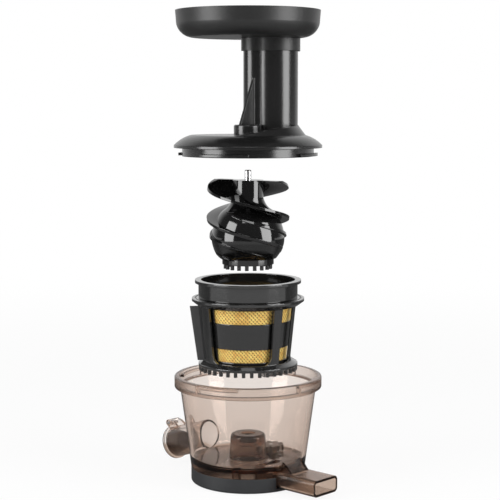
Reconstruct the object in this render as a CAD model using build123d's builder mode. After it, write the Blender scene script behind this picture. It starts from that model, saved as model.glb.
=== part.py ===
from build123d import *

import os
from math import cos, degrees, radians, sin, sqrt, tan

# Juicing head of an upright cold press juicer, drawn apart as four groups above one another:
# bowl, strainer with its brush cage, auger, and hopper with its feeding tray.
# Millimetres, +Z up. The origin is the bowl's axis on the plane the bowl stands on.
# +X runs along the pulp spout and -X along the juice spout.

# How far each group is lifted over the one below it. All three are 0 in the assembled juicer.
strainer_rise = 84.5
auger_rise = 97.5
hopper_rise = 36.0

# Clearances.
running_gap = 0.3       # between pieces that move past one another
bearing_gap = 0.05      # radial, at pins and bushes
nesting_gap = 0.04      # between pieces that are fixed in one another

# How far a cut runs past the face that it opens, and an added form into the wall that carries it.
cut_over = 1.0
fuse_depth = 1.0

# Gear train: lantern pegs under the auger, an idler in the bowl, teeth under the brush cage.
gear_module = 2.4
peg_count = 18
peg_radius = 1.8
peg_length = 4.5
teeth_clearance = 2.0    # from the bowl's floor to the tips of pegs and teeth
idler_tooth_count = 10
idler_tip_height = 1.0
idler_space_play = 0.5
idler_angle = 90.0
idler_pin_radius = 2.5
idler_pin_depth = 2.0
idler_pin_chamfer = 0.5

# Bowl.
bowl_height = 103.0
bowl_rim_radius = 70.8
bowl_rim_height = 11.4
bowl_rim_fillet = 1.6
bowl_top_radius = 65.4
bowl_foot_radius = 55.0
bowl_wall = 2.6
bowl_floor_fillet = 5.0
floor_height = 22.0
floor_thickness = 3.4
boss_height = 23.5
boss_foot_radius = 18.0
boss_top_radius = 16.8
boss_fillet = 3.0
boss_wall = 2.6
shaft_hole_radius = 6.9
shaft_lip = 2.4
seal_radius = 9.0
seal_height = 5.0
seal_bore_radius = 6.3
seal_chamfer = 1.2

# Base ring under the bowl.
base_ring_height = 14.0
base_ring_wall = 3.0
base_ring_fillet = 2.2
base_flange_width = 13.0
base_flange_thickness = 2.8
screw_count = 3
screw_angle = 60.0
screw_radius = 1.5
screw_head_radius = 3.0
screw_head_height = 1.4
screw_length = 10.0
screw_boss_radius = 4.0
screw_inset = 3.0

# Bayonet between the bowl's rim and the lid.
bayonet_count = 4
bayonet_depth = 3.6
bayonet_lip_height = 2.4
bayonet_lip_drop = 2.0
bayonet_slot_angle = -29.0
bayonet_slot_width = 52.0
lug_height = 2.6
lug_width = 43.0
lock_turn = 39.0
stop_width = 2.2
stop_play = 1.0

# Pulp spout: a rectangular duct under the floor and out through the wall.
pulp_width = 34.0
pulp_height = 15.6
pulp_wall = 2.4
pulp_bottom = 3.2
pulp_corner = 4.5
pulp_inner_end = 24.0
pulp_reach = 98.0
pulp_hole_inner = 28.2
pulp_hole_outer = 36.0
pulp_hole_width = 40.0
hood_width = 25.0
hood_height = 10.0
hood_reach = 16.0
hood_lean = (1.0, -0.3)
packing_length = 16.0
packing_width = 20.0

# Juice spout: a round tube that slopes down and outwards, with a hinged cap.
juice_radius = 15.0
juice_wall = 2.3
juice_slope = 18.0
juice_port_height = 36.0
juice_start = 50.0
juice_reach = 99.0
hinge_height = 5.5
hinge_inset = 1.0
hinge_barrel_radius = 3.2
hinge_pin_radius = 1.5
hinge_width = 14.0
knuckle_width = 7.4
hinge_block_length = 13.0
cap_radius = 16.6
cap_thickness = 3.0
cap_rim_width = 2.0
cap_recess = 1.0
cap_tab_length = 10.0
cap_tab_width = 9.0
cap_tab_thickness = 2.6
plug_length = 13.0
plug_land = 1.5
plug_fillet = 2.5
plug_tip_radius = 9.2
plug_gap = 0.4
plug_stem_radius = 3.0
plug_stem_length = 6.0

# Strainer, measured from the plane of the cage's teeth.
strainer_height = 87.0
strainer_wall = 1.8
strainer_floor = 6.2
strainer_floor_thickness = 2.6
strainer_foot_inner = 35.6
strainer_neck_inner = 42.4
strainer_shoulder = 69.8
strainer_collar_radius = 47.5
strainer_collar_wall = 2.4
strainer_rim_radius = 50.8
strainer_rim_thickness = 2.9
strainer_hole_gap = 0.8
mesh_thickness = 0.5
mesh_post_count = 4
mesh_post_width = 9.0
mesh_post_angle = -10.0
upper_mesh_low = 48.0
upper_mesh_high = 67.6
lower_mesh_low = 11.2
lower_mesh_high = 25.5
pulp_guide_wall = 1.6
mesh_frame = 1.0

# Brush cage, measured from the plane of its teeth.
tooth_length = 4.5
tooth_width = 3.4
tooth_depth = 3.6
tooth_rounding = 1.4
cage_ring_radius = 47.6
cage_ring_height = 4.6
cage_wall = 2.6
cage_foot_radius = 42.0
cage_neck_radius = 48.2
cage_flange_low = 62.8
cage_flange_height = 6.7
cage_flange_radius = 53.8
cage_flange_edge = 2.6
cage_groove_width = 1.6
cage_groove_depth = 1.2
cage_sector_count = 3
cage_rib_angle = -10.0
cage_rib_width = 11.5
cage_post_width = 5.0
cage_small_window = 21.5
cage_window_low = 10.0
cage_window_corner = 8.0

# Wiper blades of the cage, pressed through slots in the broad ribs. The first rib is a narrow one
# without a blade, beside a small window.
blade_thickness = 1.8
blade_low = 9.6
blade_high = 62.0
blade_reach_low = 48.6
blade_reach_high = 56.0

# Auger, measured from the tips of its pegs.
auger_height = 84.5
auger_ring_radius = 24.6
auger_ring_top = 10.2
auger_foot_radius = 27.0
auger_belly_radius = 34.6
auger_belly_height = 26.0
auger_shoulder_radius = 24.5
auger_shoulder_height = 55.0
auger_neck_radius = 14.6
auger_neck_height = 68.0
flight_lead = 61.0
flight_root_height = 4.6
flight_tip_height = 2.4
flight_angle = -35.0
flight_radius = 40.4
flight_belly_radius = 36.2
flight_foot_radius = 29.0
flight_top_radius = 37.0
ridge_height = 1.8
ridge_top = 58.0
pin_radius = 3.2
pin_length = 9.5
pin_depth = 20.0
pin_chamfer = 0.8
hollow_gap = 0.9
hollow_depth = 26.0
socket_radius = 9.0
socket_length = 18.0
socket_hex_radius = 5.6
auger_packing_height = 3.0
auger_packing_groove = 1.3
auger_packing_low = 11.0
auger_packing_lip = 0.5
flight_root_radius = 10.0
flight_path_radius = 26.0

# Hopper: lid, chute and tray, measured from the underside of the lid's rim.
lid_gap = 0.2
lid_inset = 0.5
lid_edge = 3.4
lid_chamfer = 1.0
lid_wall = 2.8
deck_radius = 54.5
deck_height = 11.8
shoulder_radius = 34.0
ramp_radius = 46.5
ramp_height = 22.5
ramp_direction = 43.0
ramp_slope = 8.8
ramp_start = -13.0
skirt_wall = 2.7
skirt_depth = 8.0
guide_ring_wall = 1.9
guide_ring_low = 3.0
hub_radius = 13.5
hub_height = 9.7
hub_fillet = 1.6
bush_radius = 6.0
bush_length = 7.8
lid_seal_width = 2.0
lid_seal_height = 1.5
chute_wall = 2.4
chute_top = 103.0
main_lobe_radius = 23.5
main_lobe_centre = (0.0, 36.0)
side_lobe_radius = 12.0
side_lobe_centre = (-6.0, 17.5)
feed_radius = 43.0
fin_height = 44.0
fin_thickness = 2.6
tray_radius = 68.4
tray_depth = 25.0
tray_side_height = 12.5
tray_floor_radius = 54.0
tray_wall = 2.4
tray_lean = 1.0
tray_curve_radius = 16.0
tray_collar_height = 12.0
tray_collar_wall = 1.8

# Sizes that follow from the ones above.
ring_tooth_count = peg_count + 2 * idler_tooth_count
peg_circle = gear_module * peg_count / 2
idler_circle = gear_module * idler_tooth_count / 2
ring_circle = gear_module * ring_tooth_count / 2
idler_distance = peg_circle + idler_circle
idler_x = idler_distance * cos(radians(idler_angle))
idler_y = idler_distance * sin(radians(idler_angle))

idler_height = teeth_clearance + min(tooth_length, peg_length) - 2 * running_gap
strainer_z = floor_height + teeth_clearance + strainer_rise
auger_z = strainer_z + auger_rise
hopper_z = bowl_height + lid_gap + strainer_rise + auger_rise + hopper_rise
tray_z = hopper_z + chute_top + running_gap

skirt_radius = bowl_top_radius - bowl_wall - running_gap
bayonet_lip_radius = skirt_radius + running_gap
bayonet_groove_radius = bayonet_lip_radius + bayonet_depth
bayonet_groove_low = bowl_height - bowl_rim_height + bowl_wall
bayonet_lip_low = bowl_height - bayonet_lip_drop - bayonet_lip_height
bayonet_pitch = 360 / bayonet_count
lock_angle = bayonet_slot_angle - lock_turn
lug_low = bayonet_lip_low - running_gap - lug_height - bowl_height - lid_gap

bowl_spigot_radius = bowl_foot_radius - base_ring_wall
bowl_floor_radius = bowl_foot_radius - bowl_wall
base_ring_radius = bowl_foot_radius + nesting_gap
screw_circle = bowl_spigot_radius - bowl_wall - screw_inset
boss_top = floor_height + boss_height
seal_low = boss_top - shaft_lip - seal_height
pulp_top = pulp_bottom + pulp_height
pulp_guide_spread = degrees(2 * pulp_guide_wall / pulp_hole_inner)

spout_slope = radians(juice_slope)
juice_length = (juice_reach - juice_start) / cos(spout_slope)
juice_end = (-juice_reach, 0, juice_port_height - (juice_reach - juice_start) * tan(spout_slope))
spout_out = (-cos(spout_slope), 0, -sin(spout_slope))
spout_mouth = Plane(origin=juice_end, x_dir=(0, 1, 0), z_dir=spout_out)
spout_side = Plane(origin=juice_end, x_dir=spout_out, z_dir=(0, 1, 0))
hinge_axis = (-hinge_inset, juice_radius + hinge_height)

cage_sector = 360 / cage_sector_count
cage_top = cage_flange_low + cage_flange_height
cage_window_width = cage_sector - cage_rib_width - cage_post_width - cage_small_window
blade_angles = [cage_rib_angle + index * cage_sector for index in range(1, cage_sector_count)]
cage_window_angle = cage_rib_angle - cage_rib_width / 2 - cage_window_width / 2
small_window_angle = cage_rib_angle + cage_rib_width / 2 + cage_small_window / 2
lid_radius = bowl_rim_radius - lid_inset
hub_top = deck_height + hub_height
ramp_way = Vector(cos(radians(ramp_direction)), sin(radians(ramp_direction)), 0)
ramp_foot = Vector(0, 0, hopper_z + deck_height) + ramp_way * ramp_start
ramp_normal = Vector(0, 0, cos(radians(ramp_slope))) - ramp_way * sin(radians(ramp_slope))
ramp_plane = Plane(origin=ramp_foot, z_dir=ramp_normal)
hub_core_radius = bush_radius + lid_wall
fin_meeting = side_lobe_centre[1] - sqrt(side_lobe_radius**2 - side_lobe_centre[0]**2)
lid_seal_radius = (bayonet_groove_radius + bowl_rim_radius - bowl_rim_fillet) / 2
collar_inner_radius = strainer_collar_radius - strainer_collar_wall
strainer_hole_radius = auger_ring_radius + strainer_hole_gap
mesh_bands = ((lower_mesh_low, lower_mesh_high), (upper_mesh_low, upper_mesh_high))
deck_underside = deck_height - lid_wall
hollow_radius = boss_foot_radius + hollow_gap
flight_low = strainer_floor + strainer_floor_thickness + running_gap


def strainer_inner(height):
    """Inner radius of the strainer's conical wall at a height over the teeth."""
    share = (height - strainer_floor) / (strainer_shoulder - strainer_floor)
    return strainer_foot_inner + share * (strainer_neck_inner - strainer_foot_inner)


def cage_outer(height):
    """Outer radius of the cage's conical wall at a height over the teeth."""
    share = (height - tooth_length) / (cage_flange_low - tooth_length)
    return cage_foot_radius + share * (cage_neck_radius - cage_foot_radius)


def nearest_corner(sketch, x, y):
    """Corner of a profile closest to a point."""
    return sketch.vertices().sort_by_distance((x, y))[0]


def ring_sector(inner_radius, outer_radius, middle_angle, width_angle):
    """Flat piece of a ring, for lugs, slots and windows."""
    start_angle = middle_angle - width_angle / 2
    with BuildSketch(mode=Mode.PRIVATE) as sector:
        with BuildLine():
            outer = CenterArc((0, 0), outer_radius, start_angle, width_angle)
            inner = CenterArc((0, 0), inner_radius, start_angle, width_angle)
            Line(outer @ 0, inner @ 0)
            Line(outer @ 1, inner @ 1)
        make_face()
    return sector.sketch


def chute_lobes(growth):
    """Two-lobed section of the chute, grown or shrunk all round."""
    with BuildSketch(mode=Mode.PRIVATE) as lobes:
        with Locations(main_lobe_centre):
            Circle(main_lobe_radius + growth)
        with Locations(side_lobe_centre):
            Circle(side_lobe_radius + growth)
    return lobes.sketch


def hood_section(inset):
    """Section of the hood over the pulp duct, or with an inset its hollow."""
    with BuildSketch(mode=Mode.PRIVATE) as section:
        with BuildLine():
            slope = Spline(
                (bowl_foot_radius, pulp_top + hood_height - inset),
                (bowl_foot_radius + hood_reach - inset, pulp_top - pulp_wall),
                tangents=(hood_lean, hood_lean),
            )
            Polyline(
                slope @ 1,
                (bowl_floor_radius + inset, pulp_top - pulp_wall),
                (bowl_floor_radius + inset, pulp_top + hood_height - inset),
                slope @ 0,
            )
        make_face()
    return section.sketch


def ramp_cone(inset, foot_radius, foot_height):
    """Raised ground round the chute, cut off by a rising plane, or with an inset its hollow."""
    with BuildPart(mode=Mode.PRIVATE) as cone:
        with BuildSketch(Plane.XZ):
            with BuildLine():
                Polyline(
                    (0, hopper_z + foot_height),
                    (foot_radius, hopper_z + foot_height),
                    (ramp_radius - inset, hopper_z + ramp_height - inset),
                    (0, hopper_z + ramp_height - inset),
                    close=True,
                )
            make_face()
        revolve(axis=Axis.Z)
        split(bisect_by=ramp_plane.offset(-inset), keep=Keep.BOTTOM)
    return cone.part


def mesh_cone(low, high, gap):
    """Cone of woven mesh on the strainer's inner face, or with a gap the recess that takes it."""
    base = strainer_inner(low - gap)
    neck = strainer_inner(high + gap)
    with BuildPart(mode=Mode.PRIVATE) as cone:
        with BuildSketch(Plane.XZ):
            with BuildLine():
                Polyline(
                    (base - gap, strainer_z + low - gap),
                    (base + mesh_thickness + gap, strainer_z + low - gap),
                    (neck + mesh_thickness + gap, strainer_z + high + gap),
                    (neck - gap, strainer_z + high + gap),
                    close=True,
                )
            make_face()
        revolve(axis=Axis.Z)
    return cone.part


def blade_section(gap):
    """Section of a wiper blade in its radial plane, or with a gap the slot that holds it."""
    inner_low = strainer_inner(blade_low) + strainer_wall + running_gap
    inner_high = strainer_inner(blade_high) + strainer_wall + running_gap
    with BuildSketch(mode=Mode.PRIVATE) as section:
        with BuildLine():
            Polyline(
                (inner_low - gap, strainer_z + blade_low - gap),
                (blade_reach_low + gap, strainer_z + blade_low - gap),
                (blade_reach_high + gap, strainer_z + blade_high + gap),
                (inner_high - gap, strainer_z + blade_high + gap),
                close=True,
            )
        make_face()
    return section.sketch


def write(piece, name):
    """Label a finished piece and write it."""
    piece.part.label = name
    export_step(piece.part, f"parts/{name}.step")


os.makedirs("parts", exist_ok=True)

# Bowl: one transparent moulding with the shaft boss, both spouts and the bayonet rim.
with BuildPart() as juicing_bowl:
    with BuildSketch(Plane.XZ) as bowl_outside:
        with BuildLine():
            Polyline(
                (0, base_flange_thickness + nesting_gap),
                (bowl_spigot_radius - nesting_gap, base_flange_thickness + nesting_gap),
                (bowl_spigot_radius - nesting_gap, base_ring_height),
                (bowl_foot_radius, base_ring_height),
                (bowl_top_radius, bowl_height - bowl_rim_height),
                (bowl_rim_radius, bowl_height - bowl_rim_height),
                (bowl_rim_radius, bowl_height),
                (0, bowl_height),
                close=True,
            )
        make_face()
        fillet(nearest_corner(bowl_outside, bowl_rim_radius, bowl_height), radius=bowl_rim_fillet)
        fillet(
            nearest_corner(bowl_outside, bowl_rim_radius, bowl_height - bowl_rim_height),
            radius=bowl_rim_fillet,
        )
    revolve(axis=Axis.Z)
    # Juice spout, solid for now.
    with BuildSketch(spout_mouth):
        Circle(juice_radius)
    extrude(amount=-juice_length)
    # Hinge block on top of the juice spout.
    with BuildSketch(spout_side):
        with BuildLine():
            Polyline(
                (-hinge_block_length, juice_radius - juice_wall / 2),
                (-hinge_inset, juice_radius - juice_wall / 2),
                (-hinge_inset + hinge_barrel_radius, juice_radius + hinge_height),
                (-hinge_inset, juice_radius + hinge_height + hinge_barrel_radius),
                (-hinge_block_length + hinge_height, juice_radius + hinge_height),
                close=True,
            )
        make_face()
        with Locations(hinge_axis):
            Circle(hinge_barrel_radius)
    extrude(amount=hinge_width / 2, both=True)
    # Rounded hood where the pulp duct leaves the wall.
    with BuildSketch(Plane.XZ):
        add(hood_section(0))
    extrude(amount=hood_width / 2, both=True)
    # Inside of the bowl, round the shaft boss, up to the bayonet groove.
    with BuildSketch(Plane.XZ) as bowl_inside:
        with BuildLine():
            Polyline(
                (boss_foot_radius, floor_height),
                (bowl_floor_radius, floor_height),
                (bowl_top_radius - bowl_wall, bayonet_groove_low),
                (bayonet_groove_radius, bayonet_groove_low),
                (bayonet_groove_radius, bowl_height),
                (0, bowl_height),
                (0, boss_top),
                (boss_top_radius, boss_top),
                close=True,
            )
        make_face()
        fillet(nearest_corner(bowl_inside, bowl_floor_radius, floor_height), radius=bowl_floor_fillet)
        fillet(nearest_corner(bowl_inside, boss_top_radius, boss_top), radius=boss_fillet)
    revolve(axis=Axis.Z, mode=Mode.SUBTRACT)
    # Hollow under the floor and up the boss, with the seat of the shaft seal.
    with BuildSketch(Plane.XZ):
        with BuildLine():
            Polyline(
                (0, 0),
                (bowl_spigot_radius - bowl_wall, 0),
                (bowl_spigot_radius - bowl_wall, floor_height - floor_thickness),
                (boss_foot_radius - boss_wall, floor_height - floor_thickness),
                (boss_top_radius - boss_wall, seal_low - boss_wall),
                (seal_radius + nesting_gap, seal_low - boss_wall),
                (seal_radius + nesting_gap, boss_top - shaft_lip),
                (shaft_hole_radius, boss_top - shaft_lip),
                (shaft_hole_radius, boss_top),
                (0, boss_top),
                close=True,
            )
        make_face()
    revolve(axis=Axis.Z, mode=Mode.SUBTRACT)
    # Pulp duct.
    with BuildSketch(Plane.YZ.offset(pulp_inner_end)):
        with Locations((0, pulp_bottom + pulp_height / 2)):
            RectangleRounded(pulp_width, pulp_height, pulp_corner)
    extrude(amount=pulp_reach - pulp_inner_end)
    with BuildSketch(Plane.YZ.offset(pulp_inner_end + pulp_wall)):
        with Locations((0, pulp_bottom + pulp_height / 2)):
            RectangleRounded(
                pulp_width - 2 * pulp_wall, pulp_height - 2 * pulp_wall, pulp_corner - pulp_wall
            )
    extrude(amount=pulp_reach - pulp_inner_end, mode=Mode.SUBTRACT)
    with BuildSketch(Plane.XZ):
        add(hood_section(pulp_wall))
    extrude(amount=hood_width / 2 - pulp_wall, both=True, mode=Mode.SUBTRACT)
    with BuildSketch(Plane.XY.offset(pulp_top - pulp_wall - nesting_gap)):
        add(ring_sector(pulp_hole_inner, pulp_hole_outer, 0, pulp_hole_width))
    extrude(amount=floor_height - pulp_top + pulp_wall + cut_over, mode=Mode.SUBTRACT)
    with BuildSketch(Plane.XY.offset(pulp_bottom - nesting_gap)):
        with Locations((pulp_hole_inner + packing_length / 2, 0)):
            Rectangle(packing_length, packing_width)
    extrude(amount=pulp_wall + 2 * nesting_gap, mode=Mode.SUBTRACT)
    # Way out through the juice spout.
    with BuildSketch(spout_mouth):
        Circle(juice_radius - juice_wall)
    extrude(amount=-juice_length, mode=Mode.SUBTRACT)
    # Slot for the cap's knuckle, and the hinge bore.
    with BuildSketch(spout_side):
        with Locations((-hinge_inset, juice_radius + hinge_height)):
            Rectangle(2 * hinge_block_length, 2 * (hinge_height - running_gap))
    extrude(amount=knuckle_width / 2 + running_gap, both=True, mode=Mode.SUBTRACT)
    with BuildSketch(spout_side):
        with Locations(hinge_axis):
            Circle(hinge_pin_radius + nesting_gap)
    extrude(amount=hinge_width, both=True, mode=Mode.SUBTRACT)
    # Bayonet lips between the slots, and the stops at their far ends.
    with BuildSketch(Plane.XY.offset(bayonet_lip_low)):
        for index in range(bayonet_count):
            middle = bayonet_slot_angle + (index + 0.5) * bayonet_pitch
            add(ring_sector(bayonet_lip_radius, bayonet_groove_radius + fuse_depth, middle,
                            bayonet_pitch - bayonet_slot_width))
    extrude(amount=bayonet_lip_height)
    with BuildSketch(Plane.XY.offset(bayonet_groove_low)):
        for index in range(bayonet_count):
            middle = lock_angle - lug_width / 2 - stop_width / 2 - stop_play + index * bayonet_pitch
            add(ring_sector(bayonet_lip_radius, bayonet_groove_radius + fuse_depth, middle, stop_width))
    extrude(amount=bayonet_lip_low - bayonet_groove_low)
    # Screw bosses under the floor, and the blind hole of the idler's pin.
    with BuildSketch(Plane.XY.offset(base_flange_thickness + nesting_gap)):
        with PolarLocations(screw_circle, screw_count, start_angle=screw_angle):
            Circle(screw_boss_radius)
    extrude(amount=floor_height - floor_thickness - base_flange_thickness)
    with BuildSketch(Plane.XY):
        with PolarLocations(screw_circle, screw_count, start_angle=screw_angle):
            Circle(screw_radius + nesting_gap)
    extrude(amount=screw_length + cut_over, mode=Mode.SUBTRACT)
    with BuildSketch(Plane.XY.offset(floor_height - idler_pin_depth)):
        with Locations((idler_x, idler_y)):
            Circle(idler_pin_radius + nesting_gap)
    extrude(amount=idler_pin_depth + cut_over, mode=Mode.SUBTRACT)
write(juicing_bowl, "juicing_bowl")

# Base ring: dark collar that closes the bowl's foot, notched for the pulp duct.
with BuildPart() as bowl_base_ring:
    with BuildSketch(Plane.XZ) as base_section:
        with BuildLine():
            Polyline(
                (bowl_spigot_radius - base_flange_width, 0),
                (base_ring_radius, 0),
                (base_ring_radius, base_ring_height - nesting_gap),
                (bowl_spigot_radius, base_ring_height - nesting_gap),
                (bowl_spigot_radius, base_flange_thickness),
                (bowl_spigot_radius - base_flange_width, base_flange_thickness),
                close=True,
            )
        make_face()
        fillet(nearest_corner(base_section, base_ring_radius, 0), radius=base_ring_fillet)
    revolve(axis=Axis.Z)
    with BuildSketch(Plane.YZ):
        with Locations((0, pulp_bottom - nesting_gap + base_ring_height / 2)):
            Rectangle(pulp_width + 2 * nesting_gap, base_ring_height)
    extrude(amount=pulp_reach, mode=Mode.SUBTRACT)
    with PolarLocations(screw_circle, screw_count, start_angle=screw_angle):
        with Locations(Location((0, 0, 0), (180, 0, 0))):
            CounterBoreHole(
                radius=screw_radius + nesting_gap,
                counter_bore_radius=screw_head_radius + nesting_gap,
                counter_bore_depth=screw_head_height + nesting_gap,
            )
write(bowl_base_ring, "bowl_base_ring")

# Screws that hold the base ring to the bowl.
with BuildPart() as base_ring_screws:
    with BuildSketch(Plane.XY.offset(nesting_gap)):
        with PolarLocations(screw_circle, screw_count, start_angle=screw_angle):
            Circle(screw_head_radius)
    extrude(amount=screw_head_height - nesting_gap)
    with BuildSketch(Plane.XY.offset(nesting_gap)):
        with PolarLocations(screw_circle, screw_count, start_angle=screw_angle):
            Circle(screw_radius)
    extrude(amount=screw_length)
write(base_ring_screws, "base_ring_screws")

# Shaft seal: silicone ring in the boss, round the drive shaft's way in.
with BuildPart() as shaft_seal:
    with BuildSketch(Plane.XY.offset(seal_low)):
        Circle(seal_radius)
        Circle(seal_bore_radius, mode=Mode.SUBTRACT)
    extrude(amount=seal_height)
    chamfer(shaft_seal.edges().group_by(Axis.Z)[0].sort_by(SortBy.LENGTH)[0], length=seal_chamfer)
write(shaft_seal, "shaft_seal")

# Packing: silicone plug of the cleaning hole under the pulp duct.
with BuildPart() as pulp_outlet_packing:
    with BuildSketch(Plane.XY.offset(pulp_bottom)):
        with Locations((pulp_hole_inner + packing_length / 2, 0)):
            Rectangle(packing_length - 2 * nesting_gap, packing_width - 2 * nesting_gap)
    extrude(amount=pulp_wall)
write(pulp_outlet_packing, "pulp_outlet_packing")

# Idler pin and idler gear: the gear turns the brush cage against the auger.
with BuildPart() as idler_pin:
    with BuildSketch(Plane.XY.offset(floor_height - idler_pin_depth)):
        with Locations((idler_x, idler_y)):
            Circle(idler_pin_radius)
    extrude(amount=idler_pin_depth + running_gap + idler_height)
    chamfer(idler_pin.edges().group_by(Axis.Z)[-1], length=idler_pin_chamfer)
write(idler_pin, "idler_pin")

with BuildPart() as idler_gear:
    with BuildSketch(Plane.XY.offset(floor_height + running_gap)):
        with Locations((idler_x, idler_y)):
            Circle(idler_circle + idler_tip_height)
            Circle(idler_pin_radius + bearing_gap, mode=Mode.SUBTRACT)
            with PolarLocations(idler_circle, idler_tooth_count, start_angle=idler_angle):
                Circle(peg_radius + idler_space_play, mode=Mode.SUBTRACT)
                with Locations((peg_radius, 0)):
                    Rectangle(2 * peg_radius, 2 * (peg_radius + idler_space_play), mode=Mode.SUBTRACT)
    extrude(amount=idler_height)
write(idler_gear, "idler_gear")

# Cap of the juice spout with its arm, knuckle and finger tab.
with BuildPart() as juice_cap:
    with BuildSketch(spout_mouth.offset(running_gap)):
        Circle(cap_radius)
    extrude(amount=cap_thickness)
    with BuildSketch(spout_mouth.offset(running_gap + cap_thickness - cap_recess)):
        Circle(cap_radius - cap_rim_width)
    extrude(amount=cap_recess, mode=Mode.SUBTRACT)
    with BuildSketch(spout_side):
        with BuildLine():
            Polyline(
                (-hinge_inset, juice_radius + hinge_height + hinge_barrel_radius),
                (running_gap + cap_thickness / 2, juice_radius + hinge_height + hinge_barrel_radius),
                (running_gap + cap_thickness, juice_radius + hinge_height + hinge_barrel_radius / 2),
                (running_gap + cap_thickness, cap_radius - 2 * cap_rim_width),
                (running_gap, cap_radius - 2 * cap_rim_width),
                (running_gap, juice_radius + hinge_height - hinge_barrel_radius),
                (-hinge_inset, juice_radius + hinge_height - hinge_barrel_radius),
                close=True,
            )
        make_face()
        with Locations(hinge_axis):
            Circle(hinge_barrel_radius)
            Circle(hinge_pin_radius + bearing_gap, mode=Mode.SUBTRACT)
    extrude(amount=knuckle_width / 2, both=True)
    with BuildSketch(spout_side):
        with Locations((running_gap + cap_thickness - cap_recess + cap_tab_length / 2, 0)):
            Rectangle(cap_tab_length, cap_tab_thickness)
    extrude(amount=cap_tab_width / 2, both=True)
    # Stem that the plug is pressed onto.
    with BuildSketch(spout_mouth.offset(running_gap)):
        Circle(plug_stem_radius)
    extrude(amount=-plug_stem_length)
write(juice_cap, "juice_cap")

with BuildPart() as cap_plug:
    with BuildSketch(spout_side) as plug_section:
        with BuildLine():
            Polyline(
                (running_gap - nesting_gap, 0),
                (running_gap - nesting_gap, juice_radius - juice_wall - plug_gap),
                (-plug_land, juice_radius - juice_wall - plug_gap),
                (running_gap - plug_length, plug_tip_radius),
                (running_gap - plug_length, 0),
                close=True,
            )
        make_face()
        fillet(nearest_corner(plug_section, running_gap - plug_length, plug_tip_radius), radius=plug_fillet)
    revolve(axis=Axis(juice_end, spout_out))
    with BuildSketch(spout_mouth.offset(running_gap)):
        Circle(plug_stem_radius + nesting_gap)
    extrude(amount=-(plug_stem_length + nesting_gap), mode=Mode.SUBTRACT)
write(cap_plug, "cap_plug")

with BuildPart() as cap_hinge_pin:
    with BuildSketch(spout_side):
        with Locations(hinge_axis):
            Circle(hinge_pin_radius)
    extrude(amount=hinge_width / 2, both=True)
write(cap_hinge_pin, "cap_hinge_pin")

# Strainer: moulded frame that carries both bands of mesh and the guide to the pulp hole.
with BuildPart() as strainer_frame:
    with BuildSketch(Plane.XZ):
        with BuildLine():
            Polyline(
                (strainer_hole_radius, strainer_z + strainer_floor),
                (strainer_foot_inner + strainer_wall, strainer_z + strainer_floor),
                (strainer_neck_inner + strainer_wall, strainer_z + strainer_shoulder),
                (strainer_collar_radius, strainer_z + strainer_shoulder),
                (strainer_collar_radius, strainer_z + strainer_height - strainer_rim_thickness),
                (strainer_rim_radius, strainer_z + strainer_height - strainer_rim_thickness),
                (strainer_rim_radius, strainer_z + strainer_height),
                (collar_inner_radius, strainer_z + strainer_height),
                (collar_inner_radius, strainer_z + strainer_shoulder + strainer_collar_wall),
                (strainer_neck_inner, strainer_z + strainer_shoulder),
                (strainer_foot_inner, strainer_z + strainer_floor + strainer_floor_thickness),
                (strainer_hole_radius, strainer_z + strainer_floor + strainer_floor_thickness),
                close=True,
            )
        make_face()
    revolve(axis=Axis.Z)
    # Recesses of the mesh, then the windows in front of it.
    for low, high in mesh_bands:
        add(mesh_cone(low, high, nesting_gap), mode=Mode.SUBTRACT)
        with BuildSketch(Plane.XY.offset(strainer_z + low + mesh_frame)):
            for index in range(mesh_post_count):
                middle = mesh_post_angle + (index + 0.5) * 360 / mesh_post_count
                add(ring_sector(strainer_foot_inner - strainer_wall, strainer_collar_radius, middle,
                                360 / mesh_post_count - mesh_post_width))
        extrude(amount=high - low - 2 * mesh_frame, mode=Mode.SUBTRACT)
    # Guide that leads the pulp through the floor into the bowl's pulp hole.
    with BuildSketch(Plane.XY.offset(strainer_z - teeth_clearance + running_gap)):
        add(ring_sector(pulp_hole_inner - pulp_guide_wall, pulp_hole_outer + pulp_guide_wall, 0,
                        pulp_hole_width + pulp_guide_spread))
    extrude(amount=strainer_floor + teeth_clearance)
    with BuildSketch(Plane.XY.offset(strainer_z - teeth_clearance)):
        add(ring_sector(pulp_hole_inner, pulp_hole_outer, 0, pulp_hole_width))
    extrude(amount=strainer_floor + teeth_clearance + strainer_floor_thickness, mode=Mode.SUBTRACT)
write(strainer_frame, "strainer_frame")

for (low, high), name in zip(mesh_bands, ("strainer_mesh_lower", "strainer_mesh_upper")):
    with BuildPart() as strainer_mesh:
        add(mesh_cone(low, high, 0))
    write(strainer_mesh, name)

# Brush cage: turning frame round the strainer, with teeth below and a flange above.
with BuildPart() as window_cutter:
    with BuildSketch(Plane.XY.offset(strainer_z + cage_window_low)):
        add(ring_sector(strainer_foot_inner, cage_flange_radius, cage_window_angle, cage_window_width))
    extrude(amount=cage_flange_low - cage_window_low)
    low_edges = window_cutter.edges().filter_by(GeomType.LINE).group_by(Axis.Z)[0]
    fillet(low_edges, radius=cage_window_corner)

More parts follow.
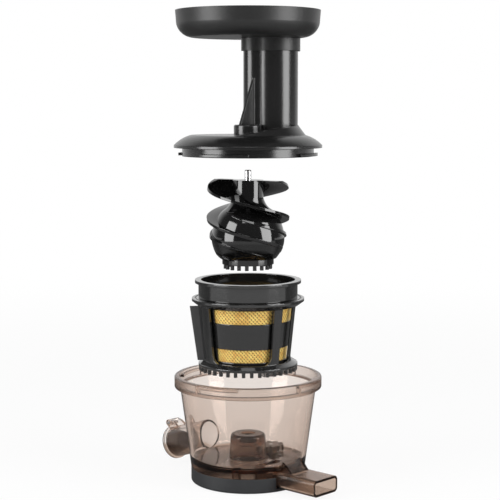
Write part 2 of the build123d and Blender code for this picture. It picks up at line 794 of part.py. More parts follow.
with BuildPart() as brush_cage:
    with BuildSketch(Plane.XZ):
        with BuildLine():
            Polyline(
                (cage_outer(tooth_length) - cage_wall, strainer_z + tooth_length),
                (cage_ring_radius, strainer_z + tooth_length),
                (cage_ring_radius, strainer_z + tooth_length + cage_ring_height / 2),
                (cage_outer(cage_window_low) + cage_wall / 2, strainer_z + tooth_length + cage_ring_height),
                (cage_outer(cage_window_low), strainer_z + cage_window_low),
                (cage_neck_radius, strainer_z + cage_flange_low),
                (cage_flange_radius, strainer_z + cage_top - cage_flange_edge),
                (cage_flange_radius, strainer_z + cage_top),
                (cage_neck_radius - cage_wall, strainer_z + cage_top),
                (cage_neck_radius - cage_wall, strainer_z + cage_flange_low),
                close=True,
            )
        make_face()
    revolve(axis=Axis.Z)
    # Groove in the flange's top, where the strainer's shoulder runs.
    with BuildSketch(Plane.XY.offset(strainer_z + cage_top - cage_groove_depth)):
        Circle(cage_flange_radius - cage_flange_edge)
        Circle(cage_flange_radius - cage_flange_edge - cage_groove_width, mode=Mode.SUBTRACT)
    extrude(amount=cage_groove_depth, mode=Mode.SUBTRACT)
    # Large window of each sector, and the small one beside the narrow rib.
    with PolarLocations(0, cage_sector_count):
        add(window_cutter.part, mode=Mode.SUBTRACT)
    with BuildSketch(Plane.XY.offset(strainer_z + cage_window_low)):
        add(ring_sector(strainer_foot_inner, cage_flange_radius, small_window_angle, cage_small_window))
    extrude(amount=cage_flange_low - cage_window_low, mode=Mode.SUBTRACT)
    # Slots that hold the wiper blades.
    for angle in blade_angles:
        with BuildSketch(Plane.XZ.rotated((0, 0, angle))):
            add(blade_section(nesting_gap))
        extrude(amount=blade_thickness / 2 + nesting_gap, both=True, mode=Mode.SUBTRACT)
    # Teeth that the idler drives.
    with BuildSketch(Plane.XY.offset(strainer_z)):
        with PolarLocations(ring_circle, ring_tooth_count, start_angle=idler_angle):
            RectangleRounded(tooth_depth, tooth_width, tooth_rounding)
    extrude(amount=tooth_length)
write(brush_cage, "brush_cage")

for index, angle in enumerate(blade_angles):
    with BuildPart() as wiper_blade:
        with BuildSketch(Plane.XZ.rotated((0, 0, angle))):
            add(blade_section(0))
        extrude(amount=blade_thickness / 2, both=True)
    write(wiper_blade, f"wiper_blade_{index + 1}")

# Auger: solid of revolution with two wide flights and two low ridges wound round it.
with BuildPart() as flight_envelope:
    with BuildSketch(Plane.YZ):
        with BuildLine():
            Polyline(
                (0, auger_z + flight_low),
                (auger_foot_radius, auger_z + flight_low),
                (flight_foot_radius, auger_z + auger_ring_top),
                (flight_belly_radius, auger_z + auger_belly_height),
                (flight_radius, auger_z + auger_shoulder_height),
                (flight_radius, auger_z + auger_neck_height + flight_tip_height),
                (flight_top_radius, auger_z + auger_height),
                (0, auger_z + auger_height),
                close=True,
            )
        make_face()
    revolve(axis=Axis.Z)

with BuildPart() as ridge_envelope:
    with BuildSketch(Plane.YZ):
        with BuildLine():
            ridge_line = Spline(
                (auger_foot_radius, auger_z + auger_ring_top),
                (auger_belly_radius + ridge_height, auger_z + auger_belly_height),
                (auger_shoulder_radius + ridge_height, auger_z + auger_shoulder_height),
                tangents=((1, 1.2), (-1, 1.6)),
            )
            Polyline(ridge_line @ 1, (0, auger_z + auger_shoulder_height),
                     (0, auger_z + auger_ring_top), ridge_line @ 0)
        make_face()
    revolve(axis=Axis.Z)

with BuildPart() as flight_sweep:
    with BuildLine() as flight_path:
        Helix(flight_lead, auger_height + flight_lead / 4, flight_path_radius,
              center=(0, 0, auger_z), lefthand=True)
    with BuildSketch(Plane.XZ):
        with BuildLine():
            Polyline(
                (flight_root_radius, auger_z - flight_root_height / 2),
                (flight_radius + cut_over, auger_z - flight_tip_height / 2),
                (flight_radius + cut_over, auger_z + flight_tip_height / 2),
                (flight_root_radius, auger_z + flight_root_height / 2),
                close=True,
            )
        make_face()
    sweep(path=flight_path.line, is_frenet=True)

with BuildPart() as wide_flight:
    add(flight_sweep.part)
    add(flight_envelope.part, mode=Mode.INTERSECT)

with BuildPart() as low_ridge:
    add(flight_sweep.part)
    add(ridge_envelope.part, mode=Mode.INTERSECT)

with BuildPart() as auger_screw:
    with BuildSketch(Plane.XZ):
        with BuildLine():
            belly = Spline(
                (auger_foot_radius, auger_z + auger_ring_top),
                (auger_belly_radius, auger_z + auger_belly_height),
                (auger_shoulder_radius, auger_z + auger_shoulder_height),
                (auger_neck_radius, auger_z + auger_neck_height),
                tangents=((1, 1.2), (-0.3, 1)),
            )
            Polyline(
                belly @ 1,
                (auger_neck_radius, auger_z + auger_height),
                (0, auger_z + auger_height),
                (0, auger_z + peg_length),
                (auger_ring_radius, auger_z + peg_length),
                (auger_ring_radius, auger_z + auger_ring_top),
                belly @ 0,
            )
        make_face()
    revolve(axis=Axis.Z)
    with PolarLocations(0, 2, start_angle=flight_angle):
        add(wide_flight.part)
    with PolarLocations(0, 2, start_angle=flight_angle + 90):
        add(low_ridge.part)
    with BuildSketch(Plane.XY.offset(auger_z)):
        with PolarLocations(peg_circle, peg_count, start_angle=idler_angle):
            Circle(peg_radius)
    extrude(amount=peg_length)
    # Hollow that takes the bowl's boss, with the packing's groove, the socket's seat and the pin's.
    with BuildSketch(Plane.XZ):
        with BuildLine():
            Polyline(
                (0, auger_z),
                (hollow_radius, auger_z),
                (hollow_radius, auger_z + auger_packing_low),
                (hollow_radius + auger_packing_groove, auger_z + auger_packing_low),
                (hollow_radius + auger_packing_groove, auger_z + auger_packing_low + auger_packing_height),
                (hollow_radius, auger_z + auger_packing_low + auger_packing_height),
                (hollow_radius, auger_z + hollow_depth),
                (socket_radius + nesting_gap, auger_z + hollow_depth),
                (socket_radius + nesting_gap, auger_z + hollow_depth + socket_length + nesting_gap),
                (0, auger_z + hollow_depth + socket_length + nesting_gap),
                close=True,
            )
        make_face()
    revolve(axis=Axis.Z, mode=Mode.SUBTRACT)
    with BuildSketch(Plane.XY.offset(auger_z + auger_height - pin_depth - running_gap)):
        Circle(pin_radius + bearing_gap)
    extrude(amount=pin_depth + running_gap + cut_over, mode=Mode.SUBTRACT)
write(auger_screw, "auger_screw")

with BuildPart() as auger_top_pin:
    with BuildSketch(Plane.XY.offset(auger_z + auger_height - pin_depth)):
        Circle(pin_radius)
    extrude(amount=pin_depth + pin_length)
    chamfer(auger_top_pin.edges().group_by(Axis.Z)[-1], length=pin_chamfer)
write(auger_top_pin, "auger_top_pin")

with BuildPart() as auger_drive_socket:
    with BuildSketch(Plane.XY.offset(auger_z + hollow_depth)):
        Circle(socket_radius)
        RegularPolygon(socket_hex_radius, 6, mode=Mode.SUBTRACT)
    extrude(amount=socket_length)
write(auger_drive_socket, "auger_drive_socket")

with BuildPart() as auger_packing:
    with BuildSketch(Plane.XY.offset(auger_z + auger_packing_low + nesting_gap)):
        Circle(hollow_radius + auger_packing_groove - nesting_gap)
        Circle(hollow_radius - auger_packing_lip, mode=Mode.SUBTRACT)
    extrude(amount=auger_packing_height - 2 * nesting_gap)
write(auger_packing, "auger_packing")

# Space under the raised ground of the lid, round the chute and the hub.
with BuildPart() as ramp_hollow:
    add(ramp_cone(lid_wall, strainer_rim_radius, deck_underside - cut_over))
    with BuildSketch(Plane.XY.offset(hopper_z)):
        add(chute_lobes(0))
        Circle(hub_radius)
    extrude(amount=hub_top, mode=Mode.SUBTRACT)

# Lid with its chute: stepped cover, skirt with bayonet lugs, hub for the auger's pin.
with BuildPart() as hopper_lid:
    with BuildSketch(Plane.XZ) as lid_outside:
        with BuildLine():
            shoulder = RadiusArc(
                (lid_radius - lid_chamfer, hopper_z + lid_edge),
                (deck_radius, hopper_z + deck_height),
                -shoulder_radius,
            )
            Polyline(
                shoulder @ 1,
                (0, hopper_z + deck_height),
                (0, hopper_z - skirt_depth),
                (skirt_radius, hopper_z - skirt_depth),
                (skirt_radius, hopper_z),
                (lid_radius, hopper_z),
                (lid_radius, hopper_z + lid_edge - lid_chamfer),
                shoulder @ 0,
            )
        make_face()
    revolve(axis=Axis.Z)
    with BuildSketch(Plane.XY.offset(hopper_z + lid_edge)):
        add(chute_lobes(0))
    extrude(amount=chute_top - lid_edge)
    with BuildSketch(Plane.XZ) as hub_section:
        with BuildLine():
            Polyline(
                (0, hopper_z + lid_edge),
                (hub_radius, hopper_z + lid_edge),
                (hub_radius, hopper_z + hub_top),
                (0, hopper_z + hub_top),
                close=True,
            )
        make_face()
        fillet(nearest_corner(hub_section, hub_radius, hopper_z + hub_top), radius=hub_fillet)
    revolve(axis=Axis.Z)
    add(ramp_cone(0, deck_radius, deck_height))
    # Fin from the hub up to the chute.
    with BuildSketch(Plane.YZ):
        with BuildLine():
            Polyline(
                (-hub_radius + hub_fillet, hopper_z + hub_top - hub_fillet),
                (fin_meeting, hopper_z + hub_top + fin_height),
                (fin_meeting + chute_wall, hopper_z + hub_top + fin_height),
                (fin_meeting + chute_wall, hopper_z + hub_top - hub_fillet),
                close=True,
            )
        make_face()
    extrude(amount=fin_thickness / 2, both=True)
    # Hollow underside.
    with BuildSketch(Plane.XZ):
        with BuildLine():
            Polyline(
                (0, hopper_z - skirt_depth),
                (skirt_radius - skirt_wall, hopper_z - skirt_depth),
                (skirt_radius - skirt_wall, hopper_z + lid_edge),
                (deck_radius - lid_wall, hopper_z + deck_underside),
                (0, hopper_z + deck_underside),
                close=True,
            )
        make_face()
    revolve(axis=Axis.Z, mode=Mode.SUBTRACT)
    add(ramp_hollow.part, mode=Mode.SUBTRACT)
    # Ring that centres the strainer's rim.
    with BuildSketch(Plane.XY.offset(hopper_z + guide_ring_low)):
        Circle(strainer_rim_radius + running_gap + guide_ring_wall)
        Circle(strainer_rim_radius + running_gap, mode=Mode.SUBTRACT)
    extrude(amount=deck_underside - guide_ring_low + lid_wall / 2)
    # Bayonet lugs on the skirt.
    with BuildSketch(Plane.XY.offset(hopper_z + lug_low)):
        for index in range(bayonet_count):
            add(ring_sector(skirt_radius - skirt_wall / 2, bayonet_groove_radius - running_gap,
                            lock_angle + index * bayonet_pitch, lug_width))
    extrude(amount=lug_height)
    # Way of the food: the whole section of the chute, narrowed to the strainer's mouth in the deck.
    with BuildSketch(Plane.XY.offset(hopper_z + deck_height)):
        add(chute_lobes(-chute_wall))
    extrude(amount=chute_top - deck_height + cut_over, mode=Mode.SUBTRACT)
    with BuildSketch(Plane.XY.offset(hopper_z)):
        add(chute_lobes(-chute_wall))
        Circle(feed_radius, mode=Mode.INTERSECT)
        Circle(hub_core_radius, mode=Mode.SUBTRACT)
    extrude(amount=deck_height + cut_over, mode=Mode.SUBTRACT)
    # Seats of the bush and of the seal.
    with BuildSketch(Plane.XY.offset(hopper_z)):
        Circle(bush_radius + nesting_gap)
    extrude(amount=deck_underside + bush_length + nesting_gap, mode=Mode.SUBTRACT)
    with BuildSketch(Plane.XY.offset(hopper_z)):
        Circle(lid_seal_radius + lid_seal_width / 2 + bearing_gap)
        Circle(lid_seal_radius - lid_seal_width / 2 - bearing_gap, mode=Mode.SUBTRACT)
    extrude(amount=lid_seal_height + bearing_gap, mode=Mode.SUBTRACT)
write(hopper_lid, "hopper_lid")

with BuildPart() as lid_bush:
    with BuildSketch(Plane.XY.offset(hopper_z + deck_underside)):
        Circle(bush_radius)
        Circle(pin_radius + bearing_gap, mode=Mode.SUBTRACT)
    extrude(amount=bush_length)
write(lid_bush, "lid_bush")

with BuildPart() as lid_seal:
    with BuildSketch(Plane.XY.offset(hopper_z)):
        Circle(lid_seal_radius + lid_seal_width / 2)
        Circle(lid_seal_radius - lid_seal_width / 2, mode=Mode.SUBTRACT)
    extrude(amount=lid_seal_height)
write(lid_seal, "lid_seal")

# Tray: shallow dish whose collar slips over the top of the chute.
with BuildPart() as feeding_tray:
    with BuildSketch(Plane.XZ):
        with BuildLine():
            dish = RadiusArc(
                (tray_floor_radius, tray_z),
                (tray_radius - tray_lean, tray_z + tray_depth - tray_side_height),
                -tray_curve_radius,
            )
            Polyline(
                dish @ 1,
                (tray_radius, tray_z + tray_depth),
                (0, tray_z + tray_depth),
                (0, tray_z),
                dish @ 0,
            )
        make_face()
    revolve(axis=Axis.Z)
    with BuildSketch(Plane.XY.offset(tray_z - tray_collar_height)):
        add(chute_lobes(running_gap + tray_collar_wall))
    extrude(amount=tray_collar_height + tray_wall)
    with BuildSketch(Plane.XZ):
        with BuildLine():
            inner_dish = RadiusArc(
                (tray_floor_radius, tray_z + tray_wall),
                (tray_radius - tray_lean - tray_wall, tray_z + tray_depth - tray_side_height),
                -(tray_curve_radius - tray_wall),
            )
            Polyline(
                inner_dish @ 1,
                (tray_radius - tray_wall, tray_z + tray_depth),
                (0, tray_z + tray_depth),
                (0, tray_z + tray_wall),
                inner_dish @ 0,
            )
        make_face()
    revolve(axis=Axis.Z, mode=Mode.SUBTRACT)
    with BuildSketch(Plane.XY.offset(tray_z - tray_collar_height)):
        add(chute_lobes(running_gap))
    extrude(amount=tray_collar_height - running_gap, mode=Mode.SUBTRACT)
    with BuildSketch(Plane.XY.offset(tray_z - running_gap)):
        add(chute_lobes(-chute_wall))
    extrude(amount=tray_depth, mode=Mode.SUBTRACT)
write(feeding_tray, "feeding_tray")
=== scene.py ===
from math import cos, pi, radians, sin

import bpy
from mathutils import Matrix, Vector


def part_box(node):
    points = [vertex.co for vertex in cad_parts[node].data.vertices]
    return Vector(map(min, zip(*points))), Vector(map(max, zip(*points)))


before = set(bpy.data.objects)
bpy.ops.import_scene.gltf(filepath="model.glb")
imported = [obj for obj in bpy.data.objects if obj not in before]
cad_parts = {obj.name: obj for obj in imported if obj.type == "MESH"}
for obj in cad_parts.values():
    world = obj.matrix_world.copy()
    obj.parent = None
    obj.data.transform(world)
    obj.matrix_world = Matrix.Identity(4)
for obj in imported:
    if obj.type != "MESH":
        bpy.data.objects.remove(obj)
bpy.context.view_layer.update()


# Juicing bowl. One injection moulding in clear smoky brown copolyester, with the shaft boss,
# both spouts and the bayonet rim. Foot and boss are thick and less clear. Their colour is painted
# darker, partly for that thickness and partly as painted shade under the bowl's floor.
class Shade:
    """A value that varies over a surface. Arithmetic on it adds Math nodes to its material."""

    def __init__(self, socket):
        self.socket = socket

    def node(self, kind, settings=None, inputs=None, output=0):
        """Add a node: its settings first, then the values or links of its sockets."""
        tree = self.socket.id_data
        made = tree.nodes.new(kind)
        for name, value in (settings or {}).items():
            setattr(made, name, value)
        for name, value in (inputs or {}).items():
            if isinstance(value, Shade):
                tree.links.new(value.socket, made.inputs[name])
            else:
                made.inputs[name].default_value = value
        return Shade(made.outputs[output])

    def math(self, operation, *others):
        """This value, and any others, taken through a Math node."""
        return self.node("ShaderNodeMath", {"operation": operation}, dict(enumerate((self, *others))))

    def __add__(self, other):
        return self.math("ADD", other)

    def __sub__(self, other):
        return self.math("SUBTRACT", other)

    def __rsub__(self, other):
        return self.node("ShaderNodeMath", {"operation": "SUBTRACT"}, {0: other, 1: self})

    def __mul__(self, other):
        return self.math("MULTIPLY", other)

    def __gt__(self, other):
        return self.math("GREATER_THAN", other)

    __radd__ = __add__
    __rmul__ = __mul__

    def noise(self, scale, detail=2.0, roughness=0.5):
        """Cloudy pattern in the piece's own space, from 0 to 1."""
        return self.node("ShaderNodeTexNoise", inputs={
            "Vector": self, "Scale": scale, "Detail": detail, "Roughness": roughness})

    def stretched(self, x, y, z):
        """The same place, measured with other scales along its axes."""
        return self.node("ShaderNodeMapping", {"vector_type": "POINT"}, {"Vector": self, "Scale": (x, y, z)})

    def axes(self):
        """The three numbers of a place."""
        parts = self.node("ShaderNodeSeparateXYZ", inputs={"Vector": self}).socket.node
        return [Shade(parts.outputs[axis]) for axis in "XYZ"]

    def ramped(self, low, high):
        """0 below low, 1 above high, smooth between them."""
        return self.node("ShaderNodeMapRange", {"interpolation_type": "SMOOTHSTEP"},
                         {"Value": self, "From Min": low, "From Max": high})

    def blended(self, first, second):
        """Colour between two others: the first where this value is 0, the second where it is 1."""
        return self.node("ShaderNodeMix", {"data_type": "RGBA"}, {0: self, 6: first, 7: second}, output=2)


def new_finish(name, **sockets):
    """Material with its shader's fixed sockets set. Returns it, its shader and the place on the surface."""
    material = bpy.data.materials.new(name)
    material.use_nodes = True
    tree = material.node_tree
    shader = tree.nodes["Principled BSDF"]
    for socket, value in sockets.items():
        shader.inputs[socket.replace("_", " ")].default_value = value
    return material, shader, Shade(tree.nodes.new("ShaderNodeTexCoord").outputs["Object"])


def feed(shader, relief=None, relief_depth=0.0, edge_radius=0.0, **values):
    """Link what varies to the shader. A relief goes relief_depth deep, and edge_radius rounds the edges."""
    edge_samples = 6
    tree = shader.id_data
    if edge_radius:
        rounded = tree.nodes.new("ShaderNodeBevel")
        rounded.samples = edge_samples
        rounded.inputs["Radius"].default_value = edge_radius
        tree.links.new(rounded.outputs["Normal"], shader.inputs["Normal"])
    if relief:
        bump = tree.nodes.new("ShaderNodeBump")
        bump.inputs["Distance"].default_value = relief_depth
        tree.links.new(relief.socket, bump.inputs["Height"])
        if edge_radius:
            tree.links.new(rounded.outputs["Normal"], bump.inputs["Normal"])
        tree.links.new(bump.outputs["Normal"], shader.inputs["Normal"])
    for socket, value in values.items():
        tree.links.new(value.socket, shader.inputs[socket.replace("_", " ")])


def dress(material, *nodes):
    """Give CAD nodes their material."""
    for node in nodes:
        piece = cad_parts[node]
        piece.data.materials.clear()
        piece.data.materials.append(material)


foot_height = 0.018
floor_height = 0.0225
boss_radius = 0.0185
boss_height = 0.0455
rim_height = 0.0916
boss_blend = 0.003
boss_fade_top = 0.05
rim_blend = 0.002
clear_wall = (0.99, 0.98, 0.97, 1)
# Darker colour of the foot and boss: partly their thicker plastic, partly painted shade under the bowl's
# floor.
thick_plastic_and_painted_shade = (0.64, 0.53, 0.45, 1)
smoky_tint = (0.58, 0.40, 0.28, 1)
tint_per_metre = 135.0
smoky_clear, smoky_shader, on_bowl = new_finish(
    "smoky_clear_copolyester", Transmission_Weight=1.0, IOR=1.46)
flow_marks = on_bowl.stretched(1, 1, 0.35).noise(28, detail=3)
bowl_x, bowl_y, bowl_z = on_bowl.axes()
off_axis = (bowl_x * bowl_x + bowl_y * bowl_y).math("SQRT")
in_foot = 1 - bowl_z.ramped(foot_height, floor_height)
in_boss = ((1 - off_axis.ramped(boss_radius, boss_radius + boss_blend))
           * (1 - bowl_z.ramped(boss_height, boss_fade_top)))
rim_frost = bowl_z.ramped(rim_height - rim_blend, rim_height)
# Base colour darkens below the floor and in the boss, partly as painted shade.
feed(smoky_shader,
     Base_Color=in_foot.math("MAXIMUM", in_boss).blended(clear_wall, thick_plastic_and_painted_shade),
     Roughness=0.02 + 0.03 * flow_marks + 0.20 * rim_frost + 0.22 * in_foot + 0.10 * in_boss,
     relief=on_bowl.noise(18), relief_depth=0.0002)
smoky_tree = smoky_clear.node_tree
tint = smoky_tree.nodes.new("ShaderNodeVolumeAbsorption")
tint.inputs["Color"].default_value = smoky_tint
tint.inputs["Density"].default_value = tint_per_metre
smoky_tree.links.new(tint.outputs["Volume"], smoky_tree.nodes["Material Output"].inputs["Volume"])
dress(smoky_clear, "juicing_bowl")

# Base ring. Dark grey moulded collar in satin ABS that closes the bowl's foot and is held
# from below by three screws.
ring_grey, ring_shader, on_ring = new_finish("satin_grey_abs", Specular_IOR_Level=0.45)
ring_wear = on_ring.noise(35, detail=4)
feed(ring_shader,
     Base_Color=ring_wear.blended((0.022, 0.023, 0.025, 1), (0.032, 0.033, 0.035, 1)),
     Roughness=0.42 + 0.12 * ring_wear,
     relief=on_ring.noise(1400), relief_depth=0.00008, edge_radius=0.0005)
dress(ring_grey, "bowl_base_ring")

# Screws, hinge pin, idler pin, top pin and drive socket. Turned stainless steel: the tool leaves
# fine rings across each piece's axis.
steel, steel_shader, on_steel = new_finish("turned_stainless_steel", Metallic=1.0)
turning = on_steel.stretched(40, 40, 5200).noise(1.0, detail=1)
feed(steel_shader,
     Base_Color=turning.blended((0.56, 0.56, 0.57, 1), (0.74, 0.74, 0.74, 1)),
     Roughness=0.2 + 0.16 * turning,
     relief=turning, relief_depth=0.00003, edge_radius=0.0003)
dress(steel, "base_ring_screws", "cap_hinge_pin", "idler_pin", "auger_top_pin", "auger_drive_socket")

# Shaft seal, the duct's packing and the cap's plug. Moulded brown silicone, each pressed into
# its seat, where it stays by its own grip.
silicone_brown, brown_shader, on_brown = new_finish("brown_silicone", Specular_IOR_Level=0.35)
brown_bloom = on_brown.noise(120, detail=3)
feed(brown_shader,
     Base_Color=brown_bloom.blended((0.050, 0.032, 0.024, 1), (0.075, 0.050, 0.038, 1)),
     Roughness=0.52 + 0.14 * brown_bloom,
     relief=on_brown.noise(900), relief_depth=0.00004)
dress(silicone_brown, "shaft_seal", "pulp_outlet_packing", "cap_plug")

# Idler gear and the lid's bush. Moulded in brown-grey acetal, which runs dry on steel: the gear
# turns on its own pin, and the bush takes the pin on top of the auger.
acetal, acetal_shader, on_acetal = new_finish("brown_grey_acetal", Specular_IOR_Level=0.5)
acetal_cloud = on_acetal.noise(160, detail=2)
feed(acetal_shader,
     Base_Color=acetal_cloud.blended((0.14, 0.11, 0.09, 1), (0.19, 0.15, 0.12, 1)),
     Roughness=0.34 + 0.1 * acetal_cloud)
dress(acetal, "idler_gear", "lid_bush")

# Cap of the juice spout. Moulded in the same clear smoky plastic as the bowl, and hinged on a
# steel pin above the spout's end.
dress(smoky_clear, "juice_cap")

# Strainer frame and brush cage. Gloss black copolyester, moulded in polished tools. Handling
# leaves a faint haze, so it mirrors softly.
gloss_black, gloss_shader, on_gloss = new_finish(
    "gloss_black_copolyester", Specular_IOR_Level=0.9, Coat_Weight=0.5, Coat_Roughness=0.04)
haze = on_gloss.noise(16, detail=3)
scuffs = on_gloss.stretched(700, 700, 50).noise(1.0, detail=4, roughness=0.7) > 0.66
feed(gloss_shader,
     Base_Color=haze.blended((0.007, 0.007, 0.007, 1), (0.012, 0.012, 0.012, 1)),
     Roughness=0.07 + 0.05 * haze + 0.06 * scuffs,
     relief=haze, relief_depth=0.0003, edge_radius=0.0012)
dress(gloss_black, "strainer_frame", "brush_cage")

# Mesh bands. Etched steel sheet with a titanium-nitride gold coat, moulded into the strainer.
# The etched holes stand in crossing diagonal rows, and are painted dark brown as painted shade behind them.
gold_mesh, mesh_shader, on_mesh = new_finish("gold_etched_mesh", Specular_IOR_Level=0.8)
mesh_x, mesh_y, mesh_z = on_mesh.axes()
row_pitch = 0.0038
columns_per_radian = 72.0
row = mesh_z * (2 * pi / row_pitch)
column = mesh_y.math("ARCTAN2", mesh_x) * columns_per_radian
rising = (row + column).math("SINE")
falling = (row - column).math("SINE")
hole_and_painted_shade = (0.65 * rising + 0.35 * falling).ramped(0.1, 0.6)
mesh_stain = on_mesh.noise(170, detail=5, roughness=0.75).ramped(0.38, 0.62)
gold = mesh_stain.blended((1.0, 0.78, 0.24, 1), (0.72, 0.40, 0.08, 1))
# The holes take painted shade: a dark brown in place of the dark inside seen through them.
feed(mesh_shader,
     Base_Color=hole_and_painted_shade.blended(gold, (0.34, 0.19, 0.04, 1)),
     Metallic=0.6 - 0.3 * mesh_stain,
     Roughness=0.30 + 0.18 * mesh_stain,
     relief=1 - hole_and_painted_shade, relief_depth=0.0002)
dress(gold_mesh, "strainer_mesh_lower", "strainer_mesh_upper")

# Wiper blades. Moulded strips of dark grey silicone, pulled into the cage's broad ribs, which
# carry them round inside the bowl. Use leaves a faint bloom on them.
silicone_grey, blade_shader, on_blade = new_finish("dark_grey_silicone", Specular_IOR_Level=0.4)
blade_bloom = on_blade.noise(90, detail=3)
feed(blade_shader,
     Base_Color=blade_bloom.blended((0.050, 0.050, 0.051, 1), (0.075, 0.075, 0.076, 1)),
     Roughness=0.40 + 0.12 * blade_bloom,
     relief=on_blade.noise(700), relief_depth=0.00005, edge_radius=0.0004)
dress(silicone_grey, "wiper_blade_1", "wiper_blade_2")

# The auger's packing and the lid's seal. Moulded rings of black silicone, set in their grooves
# without glue, so that they come out for washing.
silicone_black, seal_shader, on_seal = new_finish("black_silicone", Specular_IOR_Level=0.4)
seal_bloom = on_seal.noise(110, detail=3)
feed(seal_shader,
     Base_Color=seal_bloom.blended((0.018, 0.018, 0.019, 1), (0.034, 0.034, 0.035, 1)),
     Roughness=0.42 + 0.14 * seal_bloom,
     relief=on_seal.noise(800), relief_depth=0.00005)
dress(silicone_black, "auger_packing", "lid_seal")

# Auger. Dense black engineering plastic, moulded and polished to a mirror on the screw, which
# fine wear rings have begun to dull.
mirror_black, mirror_shader, on_auger = new_finish(
    "mirror_black_plastic", Specular_IOR_Level=0.8)
auger_flow = on_auger.noise(14)
wear_rings = on_auger.stretched(60, 60, 900).noise(1.0, detail=4, roughness=0.7) > 0.66
feed(mirror_shader,
     Base_Color=auger_flow.blended((0.002, 0.002, 0.002, 1), (0.004, 0.004, 0.004, 1)),
     Roughness=0.05 + 0.04 * auger_flow + 0.05 * wear_rings,
     relief=auger_flow, relief_depth=0.0003, edge_radius=0.0006)
dress(mirror_black, "auger_screw")

# Hopper lid with its hub and chute. Black ABS in a soft gloss, moulded in one piece, and held on
# the bowl's rim by bayonet lugs.
soft_gloss, lid_shader, on_lid = new_finish("soft_gloss_black_abs", Specular_IOR_Level=0.7)
lid_flow = on_lid.noise(20, detail=3)
feed(lid_shader,
     Base_Color=lid_flow.blended((0.006, 0.006, 0.006, 1), (0.010, 0.010, 0.010, 1)),
     Roughness=0.17 + 0.08 * lid_flow,
     relief=on_lid.noise(1200), relief_depth=0.00004, edge_radius=0.0009)
dress(soft_gloss, "hopper_lid")

# Feeding tray. A moulded dish of satin black ABS that slips over the chute's top. Use leaves
# cloudy wear on it.
satin_black, tray_shader, on_tray = new_finish("satin_black_abs", Specular_IOR_Level=0.5)
tray_wear = on_tray.noise(22, detail=5, roughness=0.6)
feed(tray_shader,
     Base_Color=tray_wear.blended((0.010, 0.010, 0.010, 1), (0.017, 0.017, 0.017, 1)),
     Roughness=0.33 + 0.10 * tray_wear,
     relief=on_tray.noise(1100), relief_depth=0.00006, edge_radius=0.0009)
dress(satin_black, "feeding_tray")

# Studio. A white floor that fades into the white room, a softbox on each side, one above, and a
# camera in front. In reflections the room is dim towards the camera and bright behind the object,
# and the floor shows a bright card in front.
camera_azimuth = 43.0
facing = radians(camera_azimuth)
front_x, front_y = sin(facing), -cos(facing)


def seen_or_through(paths):
    """1 for what the camera sees straight or through clear plastic."""
    seen = Shade(paths.outputs["Is Camera Ray"])
    return seen.math("MAXIMUM", Shade(paths.outputs["Is Transmission Ray"]))


def towards_camera(place):
    """How far a place lies to the camera's side of the object."""
    return place.node("ShaderNodeVectorMath", {"operation": "DOT_PRODUCT"},
                      {0: place, 1: (front_x, front_y, 0)}, output="Value")


floor_reach = 12.0
floor_level = -0.0002
floor_grey = (0.80, 0.80, 0.80, 1)
pure_white = (1, 1, 1, 1)
under_ring_white = 0.25
near_white = 0.65
far_white = 0.10
dim_mirror = 0.12
card_mirror = 0.50
behind_mirror = 0.78
ring_shade_width = 0.005
far_fade = (0.25, 1.6)
front_fade = (-0.25, 0.0)
card_start = (0.2, 0.3)
card_middle = (0.6, 0.9)
card_end = (2.0, 2.4)
behind_start = (2.4, 3.2)
floor_mesh = bpy.data.meshes.new("studio_floor")
floor_mesh.from_pydata([(x * floor_reach, y * floor_reach, floor_level)
                        for x, y in ((-1, -1), (1, -1), (1, 1), (-1, 1))], [], [(0, 1, 2, 3)])
floor = bpy.data.objects.new("studio_floor", floor_mesh)
bpy.context.scene.collection.objects.link(floor)
floor_white = bpy.data.materials.new("studio_floor_white")
floor_white.use_nodes = True
floor_tree = floor_white.node_tree
floor_tree.nodes.clear()
floor_paths = floor_tree.nodes.new("ShaderNodeLightPath")
on_floor = Shade(floor_tree.nodes.new("ShaderNodeNewGeometry").outputs["Position"])
from_object = on_floor.node("ShaderNodeVectorMath", {"operation": "LENGTH"}, {0: on_floor}, output="Value")
floor_seen = seen_or_through(floor_paths)
floor_mirrored = Shade(floor_paths.outputs["Is Glossy Ray"]) * (1 - floor_seen)
ring_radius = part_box("bowl_base_ring")[1][0]
whiteness = (under_ring_white + near_white * from_object.ramped(ring_radius - ring_shade_width, ring_radius)
             + far_white * from_object.ramped(*far_fade))
in_front = towards_camera(on_floor).ramped(*front_fade)
card = in_front * (0.6 * from_object.ramped(*card_start) + 0.4 * from_object.ramped(*card_middle)
                   - from_object.ramped(*card_end))
far_behind = (1 - in_front) * from_object.ramped(*behind_start)
floor_mirror_level = dim_mirror + card_mirror * card + behind_mirror * far_behind
painted = floor_seen.node("ShaderNodeBsdfDiffuse", inputs={"Color": floor_grey})
bright = floor_seen.node("ShaderNodeEmission", inputs={
    "Color": pure_white, "Strength": floor_seen + floor_mirrored * floor_mirror_level})
floor_surface = floor_seen.node("ShaderNodeMixShader", inputs={
    0: floor_seen * whiteness + floor_mirrored, 1: painted, 2: bright})
floor_output = floor_tree.nodes.new("ShaderNodeOutputMaterial")
floor_tree.links.new(floor_surface.socket, floor_output.inputs["Surface"])
floor_mesh.materials.append(floor_white)

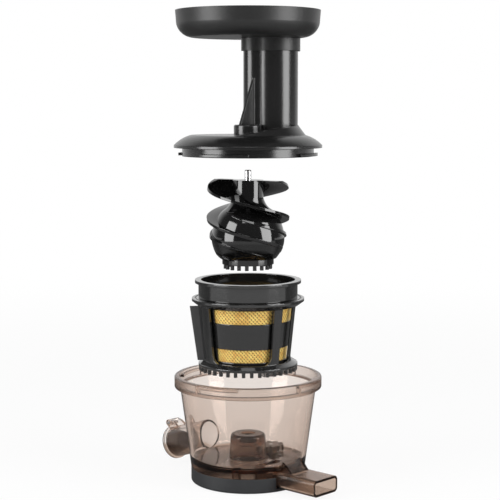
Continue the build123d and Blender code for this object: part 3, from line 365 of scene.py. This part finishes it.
room_fill_level = 0.35
room_behind_mirror = 0.70
room_fade = (-0.8, -0.3)
studio = bpy.data.worlds.new("studio")
bpy.context.scene.world = studio
studio.use_nodes = True
studio_tree = studio.node_tree
studio_tree.nodes.clear()
studio_paths = studio_tree.nodes.new("ShaderNodeLightPath")
outward = Shade(studio_tree.nodes.new("ShaderNodeTexCoord").outputs["Generated"])
room_seen = seen_or_through(studio_paths)
room_mirrored = Shade(studio_paths.outputs["Is Glossy Ray"]) * (1 - room_seen)
room_fill = (1 - room_seen) * (1 - room_mirrored)
room_mirror_level = dim_mirror + room_behind_mirror * (1 - towards_camera(outward).ramped(*room_fade))
room_strength = room_seen + room_fill_level * room_fill + room_mirrored * room_mirror_level
room = room_strength.node("ShaderNodeBackground", inputs={"Color": pure_white, "Strength": room_strength})
studio_output = studio_tree.nodes.new("ShaderNodeOutputWorld")
studio_tree.links.new(room.socket, studio_output.inputs["Surface"])


stack_middle = (0, 0, 0.22)


def softbox(name, azimuth, distance, height, width, tall, power):
    """Area lamp that looks at the middle of the stack."""
    lamp = bpy.data.lights.new(name, "AREA")
    lamp.shape = "RECTANGLE"
    lamp.size, lamp.size_y, lamp.energy = width, tall, power
    holder = bpy.data.objects.new(name, lamp)
    turned = radians(azimuth)
    holder.location = (sin(turned) * distance, -cos(turned) * distance, height)
    aim = Vector(stack_middle) - holder.location
    holder.rotation_euler = aim.to_track_quat("-Z", "Y").to_euler()
    bpy.context.scene.collection.objects.link(holder)


for side, turned in (("left", -62), ("right", 62)):
    softbox("softbox_" + side, camera_azimuth + turned, distance=1.3, height=0.60,
            width=0.80, tall=1.15, power=18.0)
softbox("softbox_top", camera_azimuth, distance=0.9, height=1.5, width=0.9, tall=0.5, power=5.0)

camera_reach = 1.311
camera_height = 0.3636
camera_tilt = 6.1
camera_aside = 0.0019
camera_sensor_mm = 36.0
camera_lens_mm = 99.4
camera_data = bpy.data.cameras.new("studio_camera")
camera_data.sensor_width = camera_sensor_mm
camera_data.lens = camera_lens_mm
camera = bpy.data.objects.new("studio_camera", camera_data)
camera.location = (front_x * camera_reach + cos(facing) * camera_aside,
                   front_y * camera_reach + sin(facing) * camera_aside, camera_height)
camera.rotation_euler = (radians(90 - camera_tilt), 0, facing)
bpy.context.scene.collection.objects.link(camera)
bpy.context.scene.camera = camera
bpy.context.scene.view_settings.view_transform = "Standard"
